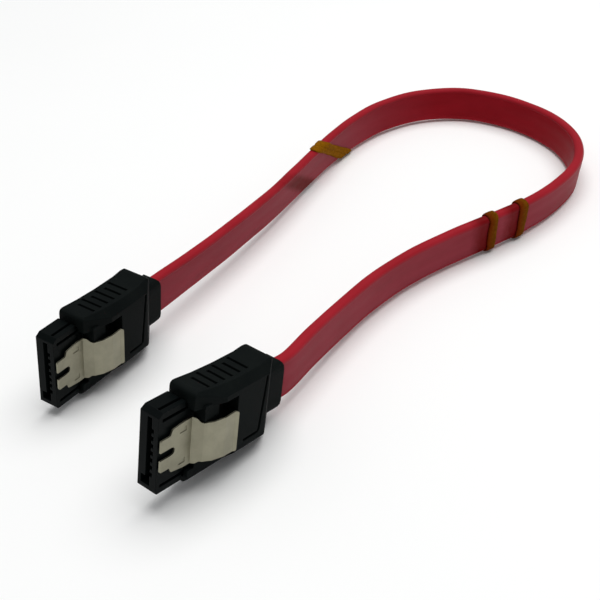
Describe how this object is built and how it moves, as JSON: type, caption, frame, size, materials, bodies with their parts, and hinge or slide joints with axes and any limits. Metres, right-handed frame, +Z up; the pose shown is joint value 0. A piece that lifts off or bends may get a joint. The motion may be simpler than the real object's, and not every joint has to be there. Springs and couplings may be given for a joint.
{
  "type": "serial data cable",
  "caption": "Short flat red serial data cable, laid in one loop on its edge, with a straight black latching plug on each end.",
  "frame": {"origin": "middle of the rectangle that the two plugs cover on the surface they stand on", "axes": "+Z up; -Y the way the near plug's nose points; +X from the far plug towards the near one, which is also the way the latches face"},
  "size_m": [0.0605, 0.1515, 0.019],
  "materials": {
    "hard_black_plastic": "satin moulded black, glass filled",
    "soft_black_plastic": "fine matt moulded black",
    "spring_steel": "satin rolled spring steel",
    "gold_plated_contact": "gold plated",
    "copper_wire": "bare drawn copper",
    "white_insulation": "satin extruded",
    "red_jacket": "semi-gloss extruded jacket",
    "olive_elastic": "aged elastic"
  },
  "bodies": {
    "root": {"near_nose": "hard_black_plastic", "near_moulding": "soft_black_plastic", "near_latch_leaf": "spring_steel", "near_contact_1": "gold_plated_contact", "near_ground_wire_1": "copper_wire", "near_contact_2": "gold_plated_contact", "near_signal_core_2": "white_insulation", "near_contact_3": "gold_plated_contact", "near_signal_core_3": "white_insulation", "near_contact_4": "gold_plated_contact", "near_ground_wire_4": "copper_wire", "near_contact_5": "gold_plated_contact", "near_signal_core_5": "white_insulation", "near_contact_6": "gold_plated_contact", "near_signal_core_6": "white_insulation", "near_contact_7": "gold_plated_contact", "near_ground_wire_7": "copper_wire", "far_nose": "hard_black_plastic", "far_moulding": "soft_black_plastic", "far_latch_leaf": "spring_steel", "far_contact_1": "gold_plated_contact", "far_ground_wire_1": "copper_wire", "far_contact_2": "gold_plated_contact", "far_signal_core_2": "white_insulation", "far_contact_3": "gold_plated_contact", "far_signal_core_3": "white_insulation", "far_contact_4": "gold_plated_contact", "far_ground_wire_4": "copper_wire", "far_contact_5": "gold_plated_contact", "far_signal_core_5": "white_insulation", "far_contact_6": "gold_plated_contact", "far_signal_core_6": "white_insulation", "far_contact_7": "gold_plated_contact", "far_ground_wire_7": "copper_wire", "flat_cable": "red_jacket", "far_band": "olive_elastic", "near_band_1": "olive_elastic", "near_band_2": "olive_elastic"}
  },
  "joints": []
}
